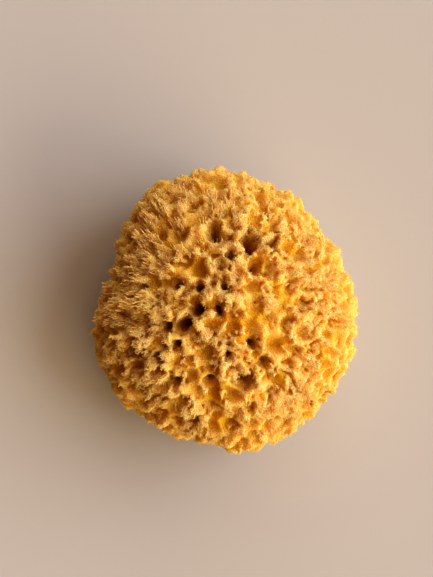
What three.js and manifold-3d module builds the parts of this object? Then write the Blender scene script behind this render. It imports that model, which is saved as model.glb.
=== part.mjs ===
// Natural sea sponge, trimmed flat where it grew on the rock.
// It grew as one piece: a soft dome of horny fibre, whose skin is a net of ragged crests
// standing round small cells, with larger canals running in between them.
// Millimetres, +Z up, origin on the trimmed face under the middle of the sponge.

import * as THREE from "three";
import { ConvexHull } from "three/addons/math/ConvexHull.js";
import { mergeVertices } from "three/addons/utils/BufferGeometryUtils.js";
import Module from "manifold-3d";

// The dome, measured over the tips of its tufts
const HEIGHT = 84;
const GIRTH_HEIGHT = 34; // the widest level, above the trimmed face
const UNDERSIDE_DROP = 54; // how far below the girth the dome would close if it were not trimmed
const ROUNDNESS = 2.3; // exponent of the dome's superellipse: 2 is an ellipse, more is boxier
const HEART = new THREE.Vector3(0, 0, 16); // every canal of the skin runs in towards it

// Radius of the plan outline every 20 degrees, from +X towards +Y
const OUTLINE_RADII = [66, 64, 63, 67, 69, 72, 73, 66, 61, 65, 68, 69, 67, 67, 71, 69, 67, 67];

// The net of crests, with its heights measured from the mean crest
const CELL_SPACING = [6.5, 9]; // between the middles of neighbouring cells
const CELL_FLOOR = [-9, -3.5];
const SADDLE_RISE = [-2.5, 1.5]; // on a crest between two tufts
const TUFT_RISE = [0.5, 4.5]; // where three crests meet
const CREST_INSET = 1.5; // the mean crest lies this far inside the outline, so that tall tufts pass it
const LEAST_GAP = 1.2; // between two points of the net
const CELL_TRIES = 9000;

// Canals on the upper side: plan place, width, length, turn of the length from +X in degrees, depth
const CANALS = [
  { x: -14, y: 0, width: 7, length: 9, turn: 60, depth: 24 },
  { x: -21, y: -7, width: 8, length: 10, turn: 20, depth: 26 },
  { x: -30, y: -8, width: 6, length: 10, turn: 95, depth: 20 },
  { x: -24, y: -17, width: 6, length: 6, turn: 0, depth: 18 },
  { x: -4, y: 0, width: 5, length: 9, turn: 110, depth: 20 },
  { x: 1, y: -21, width: 6, length: 8, turn: 90, depth: 20 },
  { x: -24, y: 12, width: 5, length: 6, turn: 80, depth: 13 },
  { x: -13, y: 11, width: 5, length: 5, turn: 0, depth: 14 },
  { x: -1, y: 11, width: 5, length: 6, turn: 90, depth: 13 },
  { x: -33, y: -23, width: 6, length: 6, turn: 0, depth: 14 },
  { x: 12, y: -16, width: 6, length: 6, turn: 0, depth: 17 },
  { x: -6, y: 38, width: 6, length: 13, turn: 95, depth: 22 },
  { x: 11, y: 33, width: 7, length: 12, turn: 100, depth: 22 },
  { x: 22, y: 31, width: 8, length: 9, turn: 60, depth: 15 },
  { x: 13, y: 20, width: 7, length: 10, turn: 70, depth: 12 },
  { x: 2, y: 26, width: 5, length: 6, turn: 90, depth: 12 },
  { x: 18, y: -25, width: 5, length: 6, turn: 40, depth: 13 },
  { x: 8, y: -34, width: 8, length: 12, turn: 165, depth: 13 },
  { x: -8, y: -34, width: 6, length: 7, turn: 20, depth: 18 },
  { x: -25, y: -34, width: 6, length: 7, turn: 120, depth: 16 },
  { x: -45, y: -18, width: 7, length: 11, turn: 95, depth: 13 },
  { x: -41, y: 8, width: 6, length: 9, turn: 80, depth: 11 },
];
const CANAL_SIDES = 8;
const CANAL_FLOOR_SHARE = 0.85; // a canal's floor over its mouth, as the heart sees them
const CANAL_FLOOR_EDGE = 0.9; // the depth of the floor's edge over that of its middle
const CANAL_LIP_RISE = [-1, 2.5];
const LEVEL_RUN = 0.5; // a canal that climbs less than this share of its run has an upright mouth
const CELL_CLEARANCE = 1.6; // cells keep this far from a canal, as a share of its mouth
const CREST_CLEARANCE = 1.1; // and crests this far

// Canals strewn round the side, and open pores in the trimmed face
const SIDE_CANALS = { count: 24, width: [5, 8], stretch: [1, 1.5], depth: [9, 15], height: [14, 52] };
const PORES = { count: 14, width: [4, 8], depth: [5, 10], ring: [0.3, 0.72], sides: 7, taper: 0.6 };
const PLACE_SLACK = 0.6; // how far each may stray from even spacing, as a share of it

const SPONGE_COLOUR = 0xe0a23c;
const SEED = 20;

const FULL_TURN = 2 * Math.PI;

// Repeatable random numbers from 0 to 1, and between the two ends of a range.
let state = SEED;
function random() {
  state = (state + 0x6d2b79f5) | 0;
  let t = Math.imul(state ^ (state >>> 15), 1 | state);
  t = (t + Math.imul(t ^ (t >>> 7), 61 | t)) ^ t;
  return ((t ^ (t >>> 14)) >>> 0) / 2 ** 32;
}
const between = ([low, high]) => low + (high - low) * random();

// The plan outline as a smooth closed curve, read back as a radius at any angle.
const outline = new THREE.CatmullRomCurve3(
  OUTLINE_RADII.map((radius, i) => {
    const angle = (i / OUTLINE_RADII.length) * FULL_TURN;
    return new THREE.Vector3(Math.cos(angle), Math.sin(angle), 0).multiplyScalar(radius);
  }),
  true,
);
function crestRadius(x, y) {
  const turn = Math.atan2(y, x) / FULL_TURN;
  return outline.getPoint(turn - Math.floor(turn)).length() - CREST_INSET;
}

// The level of the mean crest over or under the girth, at a share of the outline's radius.
const topRise = HEIGHT - GIRTH_HEIGHT - CREST_INSET;
const domeProfile = (share) => (1 - Math.min(share, 1) ** ROUNDNESS) ** (1 / ROUNDNESS);

// Where a ray from the heart meets the mean crest: halving finds the distance.
const FARTHEST = 120;
const HALVINGS = 24;
function crestDistance(direction) {
  let inside = 0;
  let outside = FARTHEST;
  for (let i = 0; i < HALVINGS; i++) {
    const middle = (inside + outside) / 2;
    const place = HEART.clone().addScaledVector(direction, middle);
    const level = place.z - GIRTH_HEIGHT;
    const tall = level > 0 ? topRise : UNDERSIDE_DROP;
    const share = Math.hypot(place.x, place.y) / crestRadius(place.x, place.y);
    if (share < 1 && Math.abs(level) < tall * domeProfile(share)) inside = middle;
    else outside = middle;
  }
  return inside;
}

// A spot is a direction from the heart, with its place on the mean crest.
function spotTowards(direction) {
  const unit = direction.clone().normalize();
  return { unit, place: HEART.clone().addScaledVector(unit, crestDistance(unit)) };
}
function spotAbove(x, y) {
  const share = Math.hypot(x, y) / crestRadius(x, y);
  return spotTowards(new THREE.Vector3(x, y, GIRTH_HEIGHT + topRise * domeProfile(share)).sub(HEART));
}
function spotBeside(angle, height) {
  return spotTowards(outline.getPoint(angle / FULL_TURN).setZ(height).sub(HEART));
}

// A canal keeps the two axes of its oval mouth, square to its own run.
function makeCanal(spot, { turn, width, length, depth }) {
  const along = new THREE.Vector3(Math.cos(turn), Math.sin(turn), 0);
  if (Math.abs(spot.unit.z) < LEVEL_RUN) along.set(0, 0, 1);
  along.addScaledVector(spot.unit, -along.dot(spot.unit)).normalize();
  const across = new THREE.Vector3().crossVectors(spot.unit, along);
  return { ...spot, along, across, width, length, depth };
}

// How far out a place lies from a canal's run: 1 is the rim of its mouth.
function mouthShare(canal, place) {
  const offset = place.clone().sub(canal.place);
  return 2 * Math.hypot(offset.dot(canal.along) / canal.length, offset.dot(canal.across) / canal.width);
}

function canalRing(canal, share) {
  return Array.from({ length: CANAL_SIDES }, (_, i) => {
    const angle = (i / CANAL_SIDES) * FULL_TURN;
    const rim = canal.place
      .clone()
      .addScaledVector(canal.along, (Math.cos(angle) * share * canal.length) / 2)
      .addScaledVector(canal.across, (Math.sin(angle) * share * canal.width) / 2);
    return spotTowards(rim.sub(HEART));
  });
}

function makeCanals() {
  const placed = CANALS.map(({ x, y, turn, ...size }) =>
    makeCanal(spotAbove(x, y), { turn: THREE.MathUtils.degToRad(turn), ...size }),
  );
  const strewn = Array.from({ length: SIDE_CANALS.count }, (_, i) => {
    const angle = ((i + PLACE_SLACK * random()) / SIDE_CANALS.count) * FULL_TURN;
    const width = between(SIDE_CANALS.width);
    const length = width * between(SIDE_CANALS.stretch);
    const depth = between(SIDE_CANALS.depth);
    const spot = spotBeside(angle, between(SIDE_CANALS.height));
    return makeCanal(spot, { turn: 0, width, length, depth });
  });
  return [...placed, ...strewn];
}

// Middles of the cells: spots strewn one by one, each kept clear of those before it and of the canals.
function strewCells(canals) {
  const cells = [];
  for (let i = 0; i < CELL_TRIES; i++) {
    const tilt = Math.acos(1 - 2 * random());
    const turn = FULL_TURN * random();
    const spot = spotTowards(new THREE.Vector3().setFromSphericalCoords(1, tilt, turn));
    const gap = between(CELL_SPACING);
    const clearOfCells = cells.every((cell) => cell.place.distanceTo(spot.place) > gap);
    const clearOfCanals = canals.every((canal) => {
      const reach = (canal.length + gap) / 2;
      return canal.place.distanceTo(spot.place) > reach || mouthShare(canal, spot.place) > CELL_CLEARANCE;
    });
    if (clearOfCells && clearOfCanals) cells.push(spot);
  }
  return cells;
}

// The points of the net: canals, then cell floors, then the tufts and saddles of the crests
// that stand along the borders between neighbouring cells.
function makeNet() {
  const canals = makeCanals();
  const cells = strewCells(canals);
  const net = [];
  const add = (spot, rise) => net.push({ ...spot, rise });
  const addIfClear = (spot, rise) => {
    const clear = net.every((point) => point.place.distanceTo(spot.place) > LEAST_GAP);
    if (clear && canals.every((canal) => mouthShare(canal, spot.place) > CREST_CLEARANCE)) add(spot, rise);
  };
  for (const canal of canals) {
    add(canal, -canal.depth);
    for (const spot of canalRing(canal, CANAL_FLOOR_SHARE)) add(spot, -CANAL_FLOOR_EDGE * canal.depth);
    for (const spot of canalRing(canal, 1)) add(spot, between(CANAL_LIP_RISE));
  }
  for (const cell of cells) add(cell, between(CELL_FLOOR));
  const borders = new ConvexHull().setFromPoints([...canals, ...cells].map((spot) => spot.unit)).faces;
  for (const face of borders) addIfClear(spotTowards(face.normal), between(TUFT_RISE));
  for (const face of borders) {
    for (const side of [0, 1, 2]) {
      const neighbour = face.getEdge(side).twin.face;
      const middle = face.normal.clone().add(neighbour.normal);
      addIfClear(spotTowards(middle), between(SADDLE_RISE));
    }
  }
  return net;
}

// The skin: the net's points joined with their neighbours all round, then each set at its own height.
function makeSkin(net) {
  const byUnit = new Map(net.map((point) => [point.unit, point]));
  const hull = new ConvexHull().setFromPoints(net.map((point) => point.unit));
  const corners = hull.faces.flatMap((face) => [0, 1, 2].map((side) => face.getEdge(side).head().point));
  const places = corners.map((unit) => {
    const { place, rise } = byUnit.get(unit);
    return place.clone().addScaledVector(unit, rise);
  });
  return new THREE.BufferGeometry().setFromPoints(places);
}

// Solid modelling: a closed geometry as a solid, and back.
const wasm = await Module();
wasm.setup();

function toSolid(geometry) {
  const bare = new THREE.BufferGeometry().setAttribute("position", geometry.getAttribute("position"));
  if (geometry.index) bare.setIndex(geometry.index);
  const merged = mergeVertices(bare);
  const triVerts = new Uint32Array(merged.index.array);
  const vertProperties = new Float32Array(merged.attributes.position.array);
  return new wasm.Manifold(new wasm.Mesh({ numProp: 3, vertProperties, triVerts }));
}

function toGeometry(solid) {
  const { vertProperties, triVerts } = solid.getMesh();
  const geometry = new THREE.BufferGeometry();
  geometry.setAttribute("position", new THREE.BufferAttribute(vertProperties, 3));
  return geometry.setIndex(new THREE.BufferAttribute(triVerts, 1));
}

// The block below the trimmed face, and one open pore in that face.
function trimBlock() {
  const side = 4 * Math.max(...OUTLINE_RADII);
  return new THREE.BoxGeometry(side, side, side).translate(0, 0, -side / 2);
}
function pore(index) {
  const angle = ((index + PLACE_SLACK * random()) / PORES.count) * FULL_TURN;
  const radius = between(PORES.width) / 2;
  const depth = between(PORES.depth);
  const place = outline.getPoint(angle / FULL_TURN).multiplyScalar(between(PORES.ring));
  return new THREE.CylinderGeometry(PORES.taper * radius, radius, 2 * depth, PORES.sides)
    .rotateX(Math.PI / 2)
    .translate(place.x, place.y, 0);
}

function makeSponge() {
  let solid = toSolid(makeSkin(makeNet())).subtract(toSolid(trimBlock()));
  for (let i = 0; i < PORES.count; i++) solid = solid.subtract(toSolid(pore(i)));
  const geometry = toGeometry(solid);
  geometry.computeBoundingBox();
  const middle = geometry.boundingBox.getCenter(new THREE.Vector3());
  geometry.translate(-middle.x, -middle.y, 0);
  geometry.computeVertexNormals();
  const fibre = new THREE.MeshStandardMaterial({ color: SPONGE_COLOUR, roughness: 0.95, metalness: 0 });
  const sponge = new THREE.Mesh(geometry, fibre);
  sponge.name = "sponge";
  return sponge;
}

const seaSponge = new THREE.Group();
seaSponge.add(makeSponge());

export default seaSponge;
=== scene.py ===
"""A dry natural sea sponge, seen crown on.

Its flesh is grown round the solid form as one skin of plates, tongues, hollows and pores.
Loose ends of its horny fibre stand on the crests, as on a sponge that has been washed and dried.
"""

import math
from functools import partial

import bpy
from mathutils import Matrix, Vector


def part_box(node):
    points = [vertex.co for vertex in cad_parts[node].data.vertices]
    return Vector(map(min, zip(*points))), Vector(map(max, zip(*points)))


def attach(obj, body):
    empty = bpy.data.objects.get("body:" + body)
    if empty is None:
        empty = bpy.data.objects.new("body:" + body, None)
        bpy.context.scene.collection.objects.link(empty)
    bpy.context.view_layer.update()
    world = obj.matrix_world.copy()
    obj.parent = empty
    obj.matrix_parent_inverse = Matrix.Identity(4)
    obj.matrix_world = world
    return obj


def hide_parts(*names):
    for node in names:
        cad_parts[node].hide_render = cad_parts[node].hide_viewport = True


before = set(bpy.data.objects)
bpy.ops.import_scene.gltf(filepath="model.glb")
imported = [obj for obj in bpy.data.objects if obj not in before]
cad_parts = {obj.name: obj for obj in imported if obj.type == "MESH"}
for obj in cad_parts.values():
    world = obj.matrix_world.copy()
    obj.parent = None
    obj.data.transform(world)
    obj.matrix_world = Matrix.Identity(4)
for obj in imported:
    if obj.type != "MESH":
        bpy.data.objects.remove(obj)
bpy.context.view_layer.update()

MM = 0.001

# The sponge grows outwards from a heart low in its middle, and its canals run in towards it.
HEART = Vector((0, 0, 16 * MM))
CREST_RADIUS = 62 * MM  # from the heart to a usual crest
CROWN = Vector((-0.14, 0.09, 0.98)).normalized()  # its tongues of fibre run down from here
WORN = Vector((-0.08, -0.03, 0.996)).normalized()  # it is frayed and bleached round here

# The flesh, as sizes along its skin and offsets from the skin of the solid
FLESH = {
    "Grain": 0.75 * MM,  # of the grid that the skin is drawn from
    "Sway width": 9 * MM,
    "Sway": 5 * MM,  # how far patterns are pushed out of line
    "Fullness": 0.8 * MM,  # how far the skin stands over the solid
    "Billow width": 8 * MM,
    "Billow rise": 3.8 * MM,
    "Plate width": 7 * MM,
    "Tongue width": 4.2 * MM,
    "Patch width": 26 * MM,  # of the places where plates, or hollows, run together
    "Wall slack": 24 * MM,  # how gently a plate ends: the way across a whole step of its noise
    "Flute": 4.0 * MM,  # how deeply wool flutes the ends of plates
    "Lip": 0.8 * MM,  # how softly they roll over
    "Hollow width": 12 * MM,
    "Shallow hollow": 0.8 * MM,
    "Deep hollow": 2.2 * MM,
    "Pore width": 2.4 * MM,
    "Pore slack": 12 * MM,  # how gently a pore begins, as for plates
    "Pore depth": 1.7 * MM,
    "Calm from": 5 * MM,  # the depth in a canal where its wall begins to be smooth
    "Calm below": 12 * MM,  # and where it is all smooth
    "Canals from": 5 * MM,  # the mean depth round a place where canals begin to crowd
    "Canals full": 8 * MM,  # and where the flesh between them is all smooth
    "Tuft width": 3.2 * MM,
    "Tuft rise": 1.3 * MM,
    "Wool width": 1.3 * MM,
    "Wool rise": 2.0 * MM,
}
PLATE_RUN = 0.3  # how fast plates change outwards, against sideways
TUFT_RUN = 0.4
WOOL_RUN = 0.15
# Each kind of roughness: its run, the detail of its noise, and the share of it left on smooth flesh
ROUGHNESS = {"Tuft": (TUFT_RUN, 2.0, 0.4), "Wool": (WOOL_RUN, 1.0, 0.5)}
NOISE_MIDDLE = 0.5
NOISE_LOW = 0.35  # most of a noise lies between these two
NOISE_HIGH = 0.65
PLATE_EDGE_LEAST = 0.26  # the noise value at the edge of a plate, in patches where plates run together
PLATE_EDGE_MOST = 0.74  # and in patches where hollows do
PORE_EDGE = 0.38  # and at the edge of a pore in a plate

# How squarely the skin faces the worn place, from 1 there to 0 at the sides
FELTED = 0.47  # felted from here down
FRAYED = 0.70  # frayed into plates from here up
SIDE_FRAY = 0.5  # how frayed the felted sides are, against the worn place

# How squarely the skin faces the crown
TONGUES = 0.8  # plates are drawn out into tongues from here down
PLATES = 0.93  # and are as wide as long from here up
TONGUE_RADIUS = 26 * MM  # on the map that tongues are drawn on, the ring where they would meet
TONGUE_RUN = 0.55  # how fast tongues change down the slope, against across it

# How the flesh is drawn
TRIM_SLACK = 0.05 * MM  # faces of the solid lower than this are its trimmed face
WELD = 0.01 * MM
FORM_ROUNDING = 2  # rounds of smoothing of the solid
SLANT = Vector((0.131, 0.073, 1.0))  # a way up that runs along no face of the solid
FIELD_MARGIN = 3 * MM
MOST_TRIANGLES = 195_000
CANAL_ROUNDS = 40  # how far round a canal its flesh is smooth, in steps of the rounded solid
PROMINENCE_ROUNDS = 14  # how far round a point its height is compared, in steps of the mesh

# Loose fibre ends on the plates. Crown is how squarely they face the worn place, from 1 there to 0 at the
# sides, and side how squarely they face the side named. Foot and full are the lowest places, against the
# solid, where any stand and where all do. Count is how many there are to a square metre.
FRINGE = {
    "Clump width": 3.5 * MM,
    "Deepest": 12 * MM,
    "Lowest": 2.5 * MM,
    "Joints": 2,
    "Bend": Vector((0.3, 0, 0)),
    "Side": Vector((0, 0, 1)),
    "Side least": -2.0,
}
FRINGES = {
    "crown_stubble": {
        "Crown least": 0.52, "Crown most": 1.01, "Foot": -1.2 * MM, "Full": -0.3 * MM,
        "Stray": 0.5, "Clump": 0.9, "Combed": 0.2,
        "Shortest": 0.4 * MM, "Longest": 1.0 * MM, "Thickness": 0.28 * MM, "Count": 0.4e6, "Seed": 1,
    },
    "crown_strands": {
        "Crown least": 0.52, "Crown most": 1.01, "Foot": -1.0 * MM, "Full": 0.0 * MM,
        "Stray": 0.4, "Clump": 1.2, "Combed": 0.35,
        "Shortest": 0.5 * MM, "Longest": 1.7 * MM, "Thickness": 0.24 * MM, "Count": 0.85e6, "Seed": 2,
    },
    "fans": {
        "Crown least": 0.56, "Crown most": 0.88, "Foot": -0.5 * MM, "Full": 0.4 * MM,
        "Side": Vector((-0.65, 0.55, 0.52)), "Side least": 0.72,
        "Stray": 0.2, "Clump": 1.0, "Clump width": 4 * MM, "Combed": 0.6,
        "Shortest": 1.5 * MM, "Longest": 3.8 * MM, "Thickness": 0.38 * MM, "Count": 0.7e6, "Seed": 5,
    },
    "side_velvet": {
        "Crown least": -1.0, "Crown most": 0.56, "Foot": -1.0 * MM, "Full": 0.2 * MM,
        "Stray": 0.35, "Clump": 0.9, "Combed": 0.0,
        "Shortest": 0.4 * MM, "Longest": 1.5 * MM, "Thickness": 0.22 * MM, "Count": 0.4e6, "Seed": 4,
    },
}
ROOT = 0.2  # share of its length that a fibre is sunk in the flesh
TIP_THICKNESS = 0.35  # of a fibre, against its root
FIBRE_SIDES = 3
LEAST_WEATHERED = 0.3  # from 0 for golden fibre to 1 for bleached

# Where the flesh changes colour: partly its own colour, partly painted shade in the hollows, creases and
# canals
HOLLOW_RISE = -2.0 * MM  # against the solid
CREST_RISE = -0.2 * MM
CREST_DEPTH = 4 * MM  # below the whole form
CANAL_DEPTH = 9 * MM
# Creases are painted darker than ridges, as painted shade
CREASE_HEIGHT = -0.6 * MM  # over its surroundings
RIDGE_HEIGHT = 0.5 * MM
CREASE_SHADE_PALENESS = 0.25  # of a crease, against a ridge
# Deeper amber down the canals, partly the inner fibre's own colour and partly painted shade
AMBER_SHADE_FROM = 5 * MM  # below the whole form
AMBER_SHADE_FULL = 18 * MM

# The felted fibre of the flesh, drawn as coarse as it needs to show
NET_WIDTH = 1.5 * MM
NET_STRAND = 0.3  # where a strand of the net ends, from 0 in its middle to 1 a net's width away
# A gap in the net is painted darker amber, as painted shade of a small hole
NET_GAP_SHADE = 0.55  # how far a gap in the net takes on its amber
FELT_OPENNESS = 0.45  # how open the net is where the flesh is felted, against where it is frayed
FELT_RELIEF = 0.5  # how much relief is left where the net is closed
STREAK_WIDTH = 0.9 * MM
STREAK_PALENESS = 0.3
GRAIN_WIDTH = 1.0 * MM
FIBRE_RELIEF = 0.8 * MM

# Soft studio lights: where each shines from, its strength, its spread in degrees and its colour
LIGHTS = {
    "key": ((0.84, 0.1, 0.53), 2.5, 58, "#FFFFFF"),
    "upper": ((0.3, 0.85, 0.42), 1.3, 60, "#FFF0D8"),
    "lower": ((0.7, -0.66, 0.28), 2.9, 54, "#FFE4B8"),
    "overhead": ((0.55, 0.04, 0.83), 1.15, 90, "#FFB058"),
}
ROOM_COLOUR = "#FF8A2C"
ROOM_STRENGTH = 0.07
FLOOR_HALF = 40.0

# The photograph's frame
PHOTO_WIDTH = 433
PHOTO_HEIGHT = 577
PIXELS_PER_MM = 2.0
SPONGE_MIDDLE_PX = (226, 311)
GIRTH_HEIGHT = 34 * MM
CAMERA_DISTANCE = 0.6
CAMERA_ELEVATION = math.radians(88)
SENSOR_MM = 36.0

# Sockets of a colour mix and of a random number, which share their names with those of other data types
MIX_FROM = 6
MIX_TO = 7
MIXED = 2
RANDOM_LEAST = 2
RANDOM_MOST = 3

FALLING = {"To Min": 1.0, "To Max": 0.0}  # ends of a range that falls from 1 to 0


def linear(code):
    """An sRGB hex colour as linear RGBA."""
    parts = [int(code[i : i + 2], 16) / 255 for i in (1, 3, 5)]
    return [p / 12.92 if p <= 0.04045 else ((p + 0.055) / 1.055) ** 2.4 for p in parts] + [1.0]


def node(tree, kind, inputs=None, **settings):
    """Adds a node with its settings. An input takes a value, an output, or a node's first output."""
    made = tree.nodes.new(kind)
    for name, value in settings.items():
        setattr(made, name, value)
    for key, value in (inputs or {}).items():
        if isinstance(value, bpy.types.Node):
            value = next(output for output in value.outputs if output.enabled)
        if isinstance(value, bpy.types.NodeSocket):
            tree.links.new(value, made.inputs[key])
        else:
            made.inputs[key].default_value = value
    return made


SOCKET_KINDS = {
    float: "NodeSocketFloat",
    int: "NodeSocketInt",
    Vector: "NodeSocketVector",
    bpy.types.Object: "NodeSocketObject",
    bpy.types.Material: "NodeSocketMaterial",
}


def start_tree(name, sizes):
    """An empty tree with a named input for each size, and the outputs that give them."""
    tree = bpy.data.node_groups.new(name, "GeometryNodeTree")
    tree.interface.new_socket("Geometry", in_out="INPUT", socket_type="NodeSocketGeometry")
    for label, value in sizes.items():
        tree.interface.new_socket(label, in_out="INPUT", socket_type=SOCKET_KINDS[type(value)])
    tree.interface.new_socket("Geometry", in_out="OUTPUT", socket_type="NodeSocketGeometry")
    return tree, tree.nodes.new("NodeGroupInput").outputs


def end_tree(tree, geometry, material):
    """Ends a tree with plain smooth geometry in its material."""
    plain = node(tree, "GeometryNodeRealizeInstances", {"Geometry": geometry})
    smooth = node(tree, "GeometryNodeSetShadeSmooth", {"Geometry": plain})
    dressed = node(tree, "GeometryNodeSetMaterial", {"Geometry": smooth, "Material": material})
    node(tree, "NodeGroupOutput", {"Geometry": dressed})


def settle(piece):
    """Turns a piece with its modifiers into a plain mesh."""
    evaluated = piece.evaluated_get(bpy.context.evaluated_depsgraph_get())
    mesh = bpy.data.meshes.new_from_object(evaluated)
    piece.modifiers.clear()
    piece.data = mesh


def grow(piece, tree, sizes):
    """Runs a tree on a piece, with its sizes set by their sockets' identifiers."""
    modifier = piece.modifiers.new(tree.name, "NODES")
    modifier.node_group = tree
    for socket in tree.interface.items_tree:
        if socket.in_out == "INPUT" and socket.name in sizes:
            modifier[socket.identifier] = sizes[socket.name]
    settle(piece)


def add_object(name, data):
    """A new object at the origin of the scene."""
    made = bpy.data.objects.new(name, data)
    bpy.context.scene.collection.objects.link(made)
    return made


def triangle_count(mesh):
    return sum(len(polygon.vertices) - 2 for polygon in mesh.polygons)


def way_outwards(add, here):
    """The line from the heart to a place, and its direction."""
    spoke = add("ShaderNodeVectorMath", {0: here, 1: HEART}, operation="SUBTRACT")
    return spoke, add("ShaderNodeVectorMath", {0: spoke}, operation="NORMALIZE")


def way_downhill(add, outwards):
    """How squarely a direction faces the crown, and the direction across it that runs down from the crown."""
    crown = add("ShaderNodeVectorMath", {0: outwards, 1: CROWN}, operation="DOT_PRODUCT")
    upward = add("ShaderNodeVectorMath", {0: CROWN, "Scale": crown}, operation="SCALE")
    flat = add("ShaderNodeVectorMath", {0: outwards, 1: upward}, operation="SUBTRACT")
    return crown, add("ShaderNodeVectorMath", {0: flat}, operation="NORMALIZE")


# The flesh

def flesh_tree(sizes):
    """Grows the flesh as the surface where a field of depths passes zero.

    The field is the distance from the rounded solid, roughened by billows, tufts and wool that run outwards.
    Hollows are cut in it between plates and tongues of fibre, and pores in the plates.
    """
    tree, size = start_tree("sponge_flesh", sizes)
    add = partial(node, tree)
    solid = add("GeometryNodeObjectInfo", {"Object": size["Solid"]}, transform_space="ORIGINAL")
    here = add("GeometryNodeInputPosition")
    level = add("ShaderNodeSeparateXYZ", {"Vector": here}).outputs["Z"]

    # The rounded solid, open at its trimmed face so that the face stays flat
    trimmed = add("ShaderNodeMath", {0: level, 1: TRIM_SLACK}, operation="LESS_THAN")
    trimming = {"Geometry": solid.outputs["Geometry"], "Selection": trimmed}
    opened = add("GeometryNodeDeleteGeometry", trimming, domain="FACE")
    joined = add("GeometryNodeMergeByDistance", {"Geometry": opened, "Distance": WELD})
    form = add("GeometryNodeSubdivisionSurface", {"Mesh": joined, "Level": FORM_ROUNDING})

    # Distance from it, less than zero inside: a slanted ray upwards from inside leaves through the skin
    near = {"Geometry": form, "Sample Position": here}
    nearest = add("GeometryNodeProximity", near, target_element="FACES").outputs["Distance"]
    ray = {"Target Geometry": form, "Source Position": here, "Ray Direction": SLANT}
    hit = add("GeometryNodeRaycast", ray).outputs["Hit Normal"]
    leaving = add("ShaderNodeVectorMath", {0: hit, 1: SLANT}, operation="DOT_PRODUCT")
    inside = add("ShaderNodeMath", {0: leaving, 1: 0.0}, operation="GREATER_THAN")
    sign = add("ShaderNodeMath", {0: inside, 1: -2.0, 2: 1.0}, operation="MULTIPLY_ADD")
    solid_skin = add("ShaderNodeMath", {0: nearest, 1: sign}, operation="MULTIPLY")
    skin = add("ShaderNodeMath", {0: solid_skin, 1: size["Fullness"]}, operation="SUBTRACT")

    # Places with the way outwards shortened, so that patterns drawn on them run outwards
    spoke, outwards = way_outwards(add, here)
    reach = add("ShaderNodeVectorMath", {0: spoke}, operation="LENGTH")
    sway_scale = add("ShaderNodeMath", {0: 1.0, 1: size["Sway width"]}, operation="DIVIDE")
    swaying = add("ShaderNodeTexNoise", {"Vector": here, "Scale": sway_scale, "Detail": 1.0})
    off_middle = {0: swaying.outputs["Color"], 1: (NOISE_MIDDLE,) * 3}
    centred = add("ShaderNodeVectorMath", off_middle, operation="SUBTRACT")
    sway = add("ShaderNodeVectorMath", {0: centred, "Scale": size["Sway"]}, operation="SCALE")
    places = {}
    for run in (PLATE_RUN, TUFT_RUN, WOOL_RUN):
        shortening = {0: reach, 1: run, 2: (1 - run) * CREST_RADIUS}
        shortened = add("ShaderNodeMath", shortening, operation="MULTIPLY_ADD")
        along = add("ShaderNodeVectorMath", {0: outwards, "Scale": shortened}, operation="SCALE")
        places[run] = add("ShaderNodeVectorMath", {0: along, 1: sway}, operation="ADD")

    # A map with the way down from the crown shortened too, so that tongues drawn on it run downhill
    crown, downhill = way_downhill(add, outwards)
    tilt = add("ShaderNodeMath", {0: crown}, operation="ARCCOSINE")
    ring = {0: tilt, 1: CREST_RADIUS * TONGUE_RUN, 2: TONGUE_RADIUS}
    ring_radius = add("ShaderNodeMath", ring, operation="MULTIPLY_ADD")
    ringed = add("ShaderNodeVectorMath", {0: downhill, "Scale": ring_radius}, operation="SCALE")
    lifted_reach = add("ShaderNodeMath", {0: reach, 1: PLATE_RUN}, operation="MULTIPLY")
    lift = add("ShaderNodeVectorMath", {0: CROWN, "Scale": lifted_reach}, operation="SCALE")
    lifted = add("ShaderNodeVectorMath", {0: ringed, 1: lift}, operation="ADD")
    tongue_place = add("ShaderNodeVectorMath", {0: lifted, 1: sway}, operation="ADD")

    # How frayed the flesh is: less at the sides, not down in the canals or where canals crowd together
    hull = add("GeometryNodeConvexHull", {"Geometry": form})
    sunk = {"Geometry": hull, "Sample Position": here}
    under = add("GeometryNodeProximity", sunk, target_element="FACES").outputs["Distance"]
    spread = add("GeometryNodeBlurAttribute", {"Value": under, "Iterations": CANAL_ROUNDS})
    sampled = {"Mesh": form, "Value": spread, "Sample Position": here}
    crowd = add("GeometryNodeSampleNearestSurface", sampled)
    crowd_range = {"Value": crowd, "From Min": size["Canals from"], "From Max": size["Canals full"]}
    uncrowded = add("ShaderNodeMapRange", {**crowd_range, **FALLING}, interpolation_type="SMOOTHSTEP")
    sunk_range = {"Value": under, "From Min": size["Calm from"], "From Max": size["Calm below"]}
    shallow = add("ShaderNodeMapRange", {**sunk_range, **FALLING}, interpolation_type="SMOOTHSTEP")
    worn = add("ShaderNodeVectorMath", {0: outwards, 1: WORN}, operation="DOT_PRODUCT")
    frayed_range = {"Value": worn, "From Min": FELTED, "From Max": FRAYED, "To Min": SIDE_FRAY}
    frayed = add("ShaderNodeMapRange", frayed_range, interpolation_type="SMOOTHSTEP")
    torn = add("ShaderNodeMath", {0: frayed, 1: uncrowded}, operation="MULTIPLY")
    rugged = add("ShaderNodeMath", {0: torn, 1: shallow}, operation="MULTIPLY")

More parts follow.
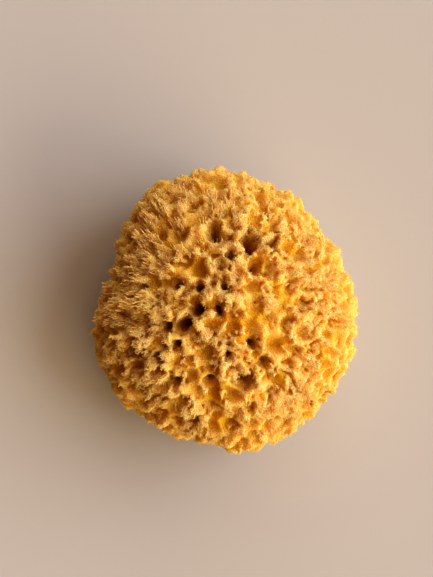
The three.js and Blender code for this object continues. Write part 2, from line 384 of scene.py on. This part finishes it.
    # Billows all over, then tufts and wool, most where it is frayed
    billow_scale = add("ShaderNodeMath", {0: 1.0, 1: size["Billow width"]}, operation="DIVIDE")
    billow = add("ShaderNodeTexNoise", {"Vector": places[TUFT_RUN], "Scale": billow_scale, "Detail": 1.0})
    dip = add("ShaderNodeMath", {0: NOISE_MIDDLE, 1: billow}, operation="SUBTRACT")
    rough = add("ShaderNodeMath", {0: dip, 1: size["Billow rise"], 2: skin}, operation="MULTIPLY_ADD")
    dips = {}
    for kind, (run, detail, smooth_share) in ROUGHNESS.items():
        scale = add("ShaderNodeMath", {0: 1.0, 1: size[kind + " width"]}, operation="DIVIDE")
        noise = add("ShaderNodeTexNoise", {"Vector": places[run], "Scale": scale, "Detail": detail})
        dips[kind] = add("ShaderNodeMath", {0: NOISE_MIDDLE, 1: noise}, operation="SUBTRACT")
        share = add("ShaderNodeMapRange", {"Value": rugged, "To Min": smooth_share})
        calmed = add("ShaderNodeMath", {0: dips[kind], 1: share}, operation="MULTIPLY")
        rising = {0: calmed, 1: size[kind + " rise"], 2: rough}
        rough = add("ShaderNodeMath", rising, operation="MULTIPLY_ADD")

    # Plates and tongues of fibre, with smooth hollows of uneven depth between them
    plate_scale = add("ShaderNodeMath", {0: 1.0, 1: size["Plate width"]}, operation="DIVIDE")
    plate = add("ShaderNodeTexNoise", {"Vector": places[PLATE_RUN], "Scale": plate_scale, "Detail": 2.0})
    tongue_scale = add("ShaderNodeMath", {0: 1.0, 1: size["Tongue width"]}, operation="DIVIDE")
    tongue = add("ShaderNodeTexNoise", {"Vector": tongue_place, "Scale": tongue_scale, "Detail": 2.0})
    plate_range = {"Value": crown, "From Min": TONGUES, "From Max": PLATES}
    plate_share = add("ShaderNodeMapRange", plate_range, interpolation_type="SMOOTHSTEP")
    blend = {"Factor": plate_share, "A": tongue.outputs["Fac"], "B": plate.outputs["Fac"]}
    cover = add("ShaderNodeMix", blend, data_type="FLOAT")
    patch_scale = add("ShaderNodeMath", {0: 1.0, 1: size["Patch width"]}, operation="DIVIDE")
    patch = add("ShaderNodeTexNoise", {"Vector": places[PLATE_RUN], "Scale": patch_scale, "Detail": 0.0})
    edge_range = {"Value": patch, "To Min": PLATE_EDGE_LEAST, "To Max": PLATE_EDGE_MOST}
    edge = add("ShaderNodeMapRange", edge_range)
    bare = add("ShaderNodeMath", {0: edge, 1: cover}, operation="SUBTRACT")
    wall = add("ShaderNodeMath", {0: bare, 1: size["Wall slack"]}, operation="MULTIPLY")
    fluting = {0: dips["Wool"], 1: size["Flute"], 2: wall}
    fluted = add("ShaderNodeMath", fluting, operation="MULTIPLY_ADD")
    hollow_scale = add("ShaderNodeMath", {0: 1.0, 1: size["Hollow width"]}, operation="DIVIDE")
    swelling = {"Vector": places[PLATE_RUN], "Scale": hollow_scale, "Detail": 0.0}
    swell = add("ShaderNodeTexNoise", swelling)
    hollow_range = {"Value": swell, "From Min": NOISE_LOW, "From Max": NOISE_HIGH}
    depths = {**hollow_range, "To Min": size["Shallow hollow"], "To Max": size["Deep hollow"]}
    depth = add("ShaderNodeMapRange", depths)
    hollow_depth = add("ShaderNodeMath", {0: depth, 1: torn}, operation="MULTIPLY")
    above_floor = add("ShaderNodeMath", {0: skin, 1: hollow_depth}, operation="ADD")
    above_calm = add("ShaderNodeMath", {0: size["Calm below"], 1: under}, operation="SUBTRACT")
    cut = add("ShaderNodeMath", {0: above_floor, 1: above_calm}, operation="MINIMUM")
    carved = add("ShaderNodeMath", {0: fluted, 1: cut}, operation="MINIMUM")
    hollowed = add("ShaderNodeMath", {0: rough, 1: carved, 2: size["Lip"]}, operation="SMOOTH_MAX")

    # Pores in the plates
    pore_scale = add("ShaderNodeMath", {0: 1.0, 1: size["Pore width"]}, operation="DIVIDE")
    pore = add("ShaderNodeTexNoise", {"Vector": places[TUFT_RUN], "Scale": pore_scale, "Detail": 0.0})
    porous = add("ShaderNodeMath", {0: PORE_EDGE, 1: pore}, operation="SUBTRACT")
    pore_wall = add("ShaderNodeMath", {0: porous, 1: size["Pore slack"]}, operation="MULTIPLY")
    pore_depth = add("ShaderNodeMath", {0: size["Pore depth"], 1: rugged}, operation="MULTIPLY")
    above_pore = add("ShaderNodeMath", {0: rough, 1: pore_depth}, operation="ADD")
    pored = add("ShaderNodeMath", {0: pore_wall, 1: above_pore}, operation="MINIMUM")
    pitted = add("ShaderNodeMath", {0: hollowed, 1: pored}, operation="MAXIMUM")

    # The flat trimmed face, then the surface
    below = add("ShaderNodeMath", {0: level, 1: -1.0}, operation="MULTIPLY")
    field = add("ShaderNodeMath", {0: pitted, 1: below}, operation="MAXIMUM")
    density = add("ShaderNodeMath", {0: field, 1: -1.0}, operation="MULTIPLY")
    block = {"Density": density, "Background": -1.0}
    block.update({"Min": size["Low corner"], "Max": size["High corner"]})
    for axis in "XYZ":
        block["Resolution " + axis] = size["Steps " + axis]
    volume = add("GeometryNodeVolumeCube", block)
    walled = {"Volume": volume, "Threshold": 0.0}
    surface = add("GeometryNodeVolumeToMesh", walled, resolution_mode="GRID")

    # Crumbs that hang free of the sponge are dropped
    island = add("GeometryNodeInputMeshIsland")
    crumb = add("GeometryNodeAccumulateField", {"Value": 1.0, "Group ID": island}).outputs["Total"]
    crumbs = {"Geometry": surface, "Attribute": crumb}
    largest = add("GeometryNodeAttributeStatistic", crumbs).outputs["Max"]
    loose = add("ShaderNodeMath", {0: crumb, 1: largest}, operation="LESS_THAN")
    dropping = {"Geometry": surface, "Selection": loose}
    whole = add("GeometryNodeDeleteGeometry", dropping, domain="POINT")
    marked = add("GeometryNodeStoreNamedAttribute", {"Geometry": whole, "Name": "rise", "Value": skin})
    end_tree(tree, marked, size["Material"])
    return tree


def mark_tree(sizes):
    """Marks the flesh with its depth below the whole form and its height over its surroundings."""
    tree, size = start_tree("sponge_marks", sizes)
    add = partial(node, tree)
    here = add("GeometryNodeInputPosition")
    hull = add("GeometryNodeConvexHull", {"Geometry": size["Geometry"]})
    sunk = {"Geometry": hull, "Sample Position": here}
    depth = add("GeometryNodeProximity", sunk, target_element="FACES").outputs["Distance"]
    surroundings = {"Value": here, "Iterations": PROMINENCE_ROUNDS}
    around = add("GeometryNodeBlurAttribute", surroundings, data_type="FLOAT_VECTOR")
    over = add("ShaderNodeVectorMath", {0: here, 1: around}, operation="SUBTRACT")
    outwards = way_outwards(add, here)[1]
    height = add("ShaderNodeVectorMath", {0: over, 1: outwards}, operation="DOT_PRODUCT")
    marked = size["Geometry"]
    for name, value in (("depth", depth), ("height", height)):
        mark = {"Geometry": marked, "Name": name, "Value": value}
        marked = add("GeometryNodeStoreNamedAttribute", mark)
    end_tree(tree, marked, size["Material"])
    return tree


def make_flesh(material):
    low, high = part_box("sponge")
    margin = Vector((FIELD_MARGIN,) * 3)
    low, high = low - margin, high + margin
    sizes = {**FLESH, "Solid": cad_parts["sponge"], "Low corner": low, "High corner": high}
    for i, axis in enumerate("XYZ"):
        sizes["Steps " + axis] = int((high[i] - low[i]) / FLESH["Grain"])
    sizes["Material"] = material
    flesh = add_object("sponge_flesh", bpy.data.meshes.new("sponge_flesh"))
    grow(flesh, flesh_tree(sizes), sizes)
    thin = flesh.modifiers.new("thin", "DECIMATE")
    thin.ratio = min(1.0, MOST_TRIANGLES / triangle_count(flesh.data))
    settle(flesh)
    marks = {"Material": material}
    grow(flesh, mark_tree(marks), marks)
    return flesh


# The loose fibre ends

def fringe_tree(sizes):
    """Strews tapering fibres over the crests of the flesh, pointing outwards."""
    tree, size = start_tree("sponge_fringe", sizes)
    add = partial(node, tree)
    here = add("GeometryNodeInputPosition")
    outwards = way_outwards(add, here)[1]

    # Where they stand: on the zone's crests, clear of the floor
    rise = add("GeometryNodeInputNamedAttribute", {"Name": "rise"}, data_type="FLOAT")
    crest_range = {"Value": rise, "From Min": size["Foot"], "From Max": size["Full"]}
    crest = add("ShaderNodeMapRange", crest_range, interpolation_type="SMOOTHSTEP")
    depth = add("GeometryNodeInputNamedAttribute", {"Name": "depth"}, data_type="FLOAT")
    shallow = add("ShaderNodeMath", {0: depth, 1: size["Deepest"]}, operation="LESS_THAN")
    worn = add("ShaderNodeVectorMath", {0: outwards, 1: WORN}, operation="DOT_PRODUCT")
    above = add("ShaderNodeMath", {0: worn, 1: size["Crown least"]}, operation="GREATER_THAN")
    under = add("ShaderNodeMath", {0: worn, 1: size["Crown most"]}, operation="LESS_THAN")
    sidedness = add("ShaderNodeVectorMath", {0: outwards, 1: size["Side"]}, operation="DOT_PRODUCT")
    beside = add("ShaderNodeMath", {0: sidedness, 1: size["Side least"]}, operation="GREATER_THAN")
    level = add("ShaderNodeSeparateXYZ", {"Vector": here}).outputs["Z"]
    clear = add("ShaderNodeMath", {0: level, 1: size["Lowest"]}, operation="GREATER_THAN")
    count = size["Count"]
    for share in (crest, shallow, above, under, beside, clear):
        count = add("ShaderNodeMath", {0: count, 1: share}, operation="MULTIPLY")
    strewing = {"Mesh": size["Geometry"], "Density": count, "Seed": size["Seed"]}
    strewn = add("GeometryNodeDistributePointsOnFaces", strewing).outputs["Points"]

    # One fibre, a unit long and thick, bent to one side and tapering, with its tip marked
    line = add("GeometryNodeCurvePrimitiveLine", {"Start": (0, 0, -ROOT), "End": (0, 0, 1)})
    jointed = add("GeometryNodeResampleCurve", {"Curve": line, "Count": size["Joints"]})
    along = add("GeometryNodeSplineParameter").outputs["Factor"]
    bow = add("ShaderNodeMath", {0: along, 1: along}, operation="MULTIPLY")
    aside = add("ShaderNodeVectorMath", {0: size["Bend"], "Scale": bow}, operation="SCALE")
    bent = add("GeometryNodeSetPosition", {"Geometry": jointed, "Offset": aside})
    marked = add("GeometryNodeStoreNamedAttribute", {"Geometry": bent, "Name": "tip", "Value": along})
    taper = add("ShaderNodeMapRange", {"Value": along, "To Min": 1.0, "To Max": TIP_THICKNESS})
    tapered = add("GeometryNodeSetCurveRadius", {"Curve": marked, "Radius": taper})
    section = add("GeometryNodeCurvePrimitiveCircle", {"Resolution": FIBRE_SIDES, "Radius": 0.5})
    filled = {"Curve": tapered, "Profile Curve": section, "Fill Caps": True}
    fibre = add("GeometryNodeCurveToMesh", filled)

    # Which way each points
    draw = {"Seed": size["Seed"]}
    anywhere = {"Min": (-1, -1, -1), "Max": (1, 1, 1), **draw}
    stray = add("FunctionNodeRandomValue", anywhere, data_type="FLOAT_VECTOR")
    strayed = add("ShaderNodeVectorMath", {0: stray, "Scale": size["Stray"]}, operation="SCALE")
    clump_scale = add("ShaderNodeMath", {0: 1.0, 1: size["Clump width"]}, operation="DIVIDE")
    clump = add("ShaderNodeTexNoise", {"Vector": here, "Scale": clump_scale, "Detail": 0.0})
    off_middle = {0: clump.outputs["Color"], 1: (NOISE_MIDDLE,) * 3}
    centred = add("ShaderNodeVectorMath", off_middle, operation="SUBTRACT")
    clumped = add("ShaderNodeVectorMath", {0: centred, "Scale": size["Clump"]}, operation="SCALE")
    leaning = add("ShaderNodeVectorMath", {0: strayed, 1: clumped}, operation="ADD")
    downhill = way_downhill(add, outwards)[1]
    combed = add("ShaderNodeVectorMath", {0: downhill, "Scale": size["Combed"]}, operation="SCALE")
    aimed = add("ShaderNodeVectorMath", {0: outwards, 1: combed}, operation="ADD")
    direction = add("ShaderNodeVectorMath", {0: aimed, 1: leaning}, operation="ADD")
    stood = add("FunctionNodeAlignRotationToVector", {"Vector": direction}, axis="Z")
    any_angle = {RANDOM_LEAST: 0.0, RANDOM_MOST: 2 * math.pi, **draw}
    angle = add("FunctionNodeRandomValue", any_angle, data_type="FLOAT")
    twist = add("FunctionNodeAxisAngleToRotation", {"Axis": (0, 0, 1), "Angle": angle})
    twisting = {"Rotation": stood, "Rotate By": twist}
    turned = add("FunctionNodeRotateRotation", twisting, rotation_space="LOCAL")

    # How long, thick and bleached each is
    any_length = {RANDOM_LEAST: size["Shortest"], RANDOM_MOST: size["Longest"], **draw}
    length = add("FunctionNodeRandomValue", any_length, data_type="FLOAT")
    scale = add("ShaderNodeCombineXYZ", {"X": size["Thickness"], "Y": size["Thickness"], "Z": length})
    any_weather = {RANDOM_LEAST: LEAST_WEATHERED, RANDOM_MOST: 1.0, **draw}
    weathering = add("FunctionNodeRandomValue", any_weather, data_type="FLOAT")
    weathered = {"Geometry": strewn, "Name": "weathering", "Value": weathering}
    points = add("GeometryNodeStoreNamedAttribute", weathered)
    planting = {"Points": points, "Instance": fibre, "Rotation": turned, "Scale": scale}
    planted = add("GeometryNodeInstanceOnPoints", planting)
    end_tree(tree, planted, size["Material"])
    return tree


def make_fringe(name, flesh, zone, material):
    sizes = {**FRINGE, **zone, "Material": material}
    fringe = add_object(name, flesh.data)
    grow(fringe, fringe_tree(sizes), sizes)
    return fringe


# Materials

def spongin_flesh():
    """Dry spongin: matt horny fibre, golden on its crests and deep amber down in its hollows and canals,
    where the amber is partly its own colour and partly painted shade.
    """
    material = bpy.data.materials.new("spongin_flesh")
    material.use_nodes = True
    tree = material.node_tree
    shader = tree.nodes["Principled BSDF"]
    add = partial(node, tree)
    place = add("ShaderNodeTexCoord").outputs["Object"]
    outwards = way_outwards(add, place)[1]

    # Crests stand out of the hollows, the canals and the creases; the crease mark adds painted shade where
    # the skin sits below its surroundings
    rise = add("ShaderNodeAttribute", attribute_name="rise").outputs["Fac"]
    risen = add("ShaderNodeMapRange", {"Value": rise, "From Min": HOLLOW_RISE, "From Max": CREST_RISE})
    depth = add("ShaderNodeAttribute", attribute_name="depth").outputs["Fac"]
    shallow_range = {"Value": depth, "From Min": CREST_DEPTH, "From Max": CANAL_DEPTH, **FALLING}
    shallow = add("ShaderNodeMapRange", shallow_range)
    height = add("ShaderNodeAttribute", attribute_name="height").outputs["Fac"]
    standing_range = {"Value": height, "From Min": CREASE_HEIGHT, "From Max": RIDGE_HEIGHT}
    paling = {**standing_range, "To Min": CREASE_SHADE_PALENESS}
    crease_shading = add("ShaderNodeMapRange", paling, interpolation_type="SMOOTHSTEP")
    outer = add("ShaderNodeMath", {0: risen, 1: shallow}, operation="MULTIPLY")
    crest = add("ShaderNodeMath", {0: outer, 1: crease_shading}, operation="MULTIPLY")

    # Pale on the crests, palest where it is worn, golden in the hollows and amber in the canals; the darker
    # hollows, creases and canals are partly the fibre's own colour and partly painted shade
    worn = add("ShaderNodeVectorMath", {0: outwards, 1: WORN}, operation="DOT_PRODUCT").outputs["Value"]
    frayed = add("ShaderNodeMapRange", {"Value": worn, "From Min": FELTED, "From Max": FRAYED})
    pale = {"Factor": frayed, MIX_FROM: linear("#E8BE6C"), MIX_TO: linear("#F8DC98")}
    felt = add("ShaderNodeMix", pale, data_type="RGBA").outputs[MIXED]
    golden = {"Factor": crest, MIX_FROM: linear("#D2A224"), MIX_TO: felt}
    lit = add("ShaderNodeMix", golden, data_type="RGBA").outputs[MIXED]
    canal_amber_and_shade = add("ShaderNodeMapRange", {"Value": depth, "From Min": AMBER_SHADE_FROM, "From Max": AMBER_SHADE_FULL})
    amber = {"Factor": canal_amber_and_shade, MIX_FROM: lit, MIX_TO: linear("#BE600E")}
    colour = add("ShaderNodeMix", amber, data_type="RGBA").outputs[MIXED]

    # The net that the fibre is felted into, with its gaps painted darker amber as painted shade of small
    # holes
    meshes = {"Vector": place, "Scale": 1 / NET_WIDTH}
    net = add("ShaderNodeTexVoronoi", meshes, feature="DISTANCE_TO_EDGE")
    strand = add("ShaderNodeMapRange", {"Value": net, "From Max": NET_STRAND, **FALLING})
    openness = add("ShaderNodeMapRange", {"Value": frayed, "To Min": FELT_OPENNESS})
    lace = add("ShaderNodeMath", {0: crest, 1: openness}, operation="MULTIPLY")
    gap = add("ShaderNodeMath", {0: 1.0, 1: strand}, operation="SUBTRACT")
    open_gap = add("ShaderNodeMath", {0: gap, 1: lace}, operation="MULTIPLY")
    gap_share = add("ShaderNodeMath", {0: open_gap, 1: NET_GAP_SHADE}, operation="MULTIPLY")
    painted_gap_shade = {"Factor": gap_share, MIX_FROM: colour, MIX_TO: linear("#BC7614")}
    laced = add("ShaderNodeMix", painted_gap_shade, data_type="RGBA").outputs[MIXED]

    # Streaks of fibre that run outwards, and grains
    streaking = {"Vector": outwards, "Scale": CREST_RADIUS / STREAK_WIDTH, "Detail": 2.0}
    streaks = add("ShaderNodeTexNoise", streaking)
    streak_range = {"Value": streaks, "From Min": NOISE_LOW, "From Max": NOISE_HIGH}
    streaked = add("ShaderNodeMapRange", {**streak_range, "To Max": STREAK_PALENESS})
    bleach = add("ShaderNodeMath", {0: streaked, 1: crest}, operation="MULTIPLY")
    bleaching = {"Factor": bleach, MIX_FROM: laced, MIX_TO: linear("#F0CC74")}
    tint = add("ShaderNodeMix", bleaching, data_type="RGBA").outputs[MIXED]
    grains = add("ShaderNodeTexNoise", {"Vector": place, "Scale": 1 / GRAIN_WIDTH, "Detail": 1.0})
    grained = add("ShaderNodeMath", {0: streaks, 1: grains}, operation="ADD")
    netted = add("ShaderNodeMath", {0: grained, 1: strand}, operation="ADD")
    felted = add("ShaderNodeMapRange", {"Value": lace, "To Min": FELT_RELIEF})
    relief = add("ShaderNodeMath", {0: netted, 1: felted}, operation="MULTIPLY")
    bump = add("ShaderNodeBump", {"Height": relief, "Distance": FIBRE_RELIEF, "Strength": 1.0})
    tree.links.new(tint, shader.inputs["Base Color"])
    tree.links.new(bump.outputs["Normal"], shader.inputs["Normal"])
    shader.inputs["Roughness"].default_value = 0.9
    shader.inputs["Specular IOR Level"].default_value = 0.1
    shader.inputs["Sheen Weight"].default_value = 0.3
    shader.inputs["Sheen Roughness"].default_value = 0.5
    shader.inputs["Sheen Tint"].default_value = linear("#FFE0A0")
    shader.inputs["Subsurface Weight"].default_value = 1.0
    shader.inputs["Subsurface Radius"].default_value = (1.0, 0.72, 0.25)
    shader.inputs["Subsurface Scale"].default_value = 8 * MM
    return material


def spongin_fibre():
    """Bleached ends of dry spongin fibre: matt and straw pale, golden and darker towards their roots, partly
    unbleached fibre and partly painted shade low in the brush.
    """
    material = bpy.data.materials.new("spongin_fibre")
    material.use_nodes = True
    tree = material.node_tree
    shader = tree.nodes["Principled BSDF"]
    add = partial(node, tree)
    tip = add("ShaderNodeAttribute", attribute_name="tip").outputs["Fac"]
    # Darker, more saturated roots: partly unbleached fibre, partly painted shade where the roots stand deep
    # among the other fibres
    golden = {"Factor": tip, MIX_FROM: linear("#E0AC40"), MIX_TO: linear("#F1CE78")}
    fresh = add("ShaderNodeMix", golden, data_type="RGBA").outputs[MIXED]
    straw = {"Factor": tip, MIX_FROM: linear("#DEA840"), MIX_TO: linear("#FADC9A")}
    bleached = add("ShaderNodeMix", straw, data_type="RGBA").outputs[MIXED]
    place = add("ShaderNodeTexCoord").outputs["Object"]
    outwards = way_outwards(add, place)[1]
    worn = add("ShaderNodeVectorMath", {0: outwards, 1: WORN}, operation="DOT_PRODUCT").outputs["Value"]
    upper = add("ShaderNodeMapRange", {"Value": worn, "From Min": FELTED, "From Max": FRAYED})
    weathering = add("ShaderNodeAttribute", attribute_name="weathering").outputs["Fac"]
    bleach = add("ShaderNodeMath", {0: upper, 1: weathering}, operation="MULTIPLY")
    shades = {"Factor": bleach, MIX_FROM: fresh, MIX_TO: bleached}
    colour = add("ShaderNodeMix", shades, data_type="RGBA").outputs[MIXED]
    tree.links.new(colour, shader.inputs["Base Color"])
    shader.inputs["Roughness"].default_value = 0.8
    shader.inputs["Specular IOR Level"].default_value = 0.1
    shader.inputs["Subsurface Weight"].default_value = 1.0
    shader.inputs["Subsurface Radius"].default_value = (1.0, 1.0, 1.0)
    shader.inputs["Subsurface Scale"].default_value = 0.15 * MM
    return material


# The stage

def make_floor():
    """Plain pale paper: matt and cool, so that it looks neutral in the warm light."""
    mesh = bpy.data.meshes.new("floor")
    corners = [(x * FLOOR_HALF, y * FLOOR_HALF, 0) for x, y in ((-1, -1), (1, -1), (1, 1), (-1, 1))]
    mesh.from_pydata(corners, [], [(0, 1, 2, 3)])
    floor = add_object("floor", mesh)
    paper = bpy.data.materials.new("pale_paper")
    paper.use_nodes = True
    shader = paper.node_tree.nodes["Principled BSDF"]
    shader.inputs["Base Color"].default_value = linear("#AEB4BC")
    shader.inputs["Roughness"].default_value = 0.9
    mesh.materials.append(paper)


def light_studio():
    scene = bpy.context.scene
    scene.view_settings.view_transform = "Standard"
    scene.view_settings.look = "Medium High Contrast"
    for name, (direction, strength, spread, colour) in LIGHTS.items():
        lamp = bpy.data.lights.new(name, "SUN")
        lamp.energy = strength
        lamp.color = linear(colour)[:3]
        lamp.angle = math.radians(spread)
        light = add_object(name, lamp)
        light.rotation_euler = (-Vector(direction)).to_track_quat("-Z", "Y").to_euler()
    world = bpy.data.worlds.new("studio")
    world.use_nodes = True
    room = world.node_tree.nodes["Background"]
    room.inputs["Color"].default_value = linear(ROOM_COLOUR)
    room.inputs["Strength"].default_value = ROOM_STRENGTH
    scene.world = world


def make_camera():
    """Looks down on the crown, with the sponge where the photograph has it."""
    view = bpy.data.cameras.new("camera")
    view.sensor_width = SENSOR_MM
    view.lens = SENSOR_MM * CAMERA_DISTANCE / (PHOTO_HEIGHT / PIXELS_PER_MM * MM)
    camera = add_object("camera", view)
    right = (PHOTO_WIDTH / 2 - SPONGE_MIDDLE_PX[0]) / PIXELS_PER_MM * MM
    up = (SPONGE_MIDDLE_PX[1] - PHOTO_HEIGHT / 2) / PIXELS_PER_MM * MM
    target = Vector((right, up, GIRTH_HEIGHT))
    back = Vector((0, -math.cos(CAMERA_ELEVATION), math.sin(CAMERA_ELEVATION)))
    camera.location = target + back * CAMERA_DISTANCE
    camera.rotation_euler = (-back).to_track_quat("-Z", "Y").to_euler()
    bpy.context.scene.camera = camera


make_camera()
light_studio()
make_floor()
flesh = make_flesh(spongin_flesh())
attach(flesh, "root")
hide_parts("sponge")
fibre = spongin_fibre()
for name, zone in FRINGES.items():
    fringe = make_fringe(name, flesh, zone, fibre)
    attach(fringe, "root")
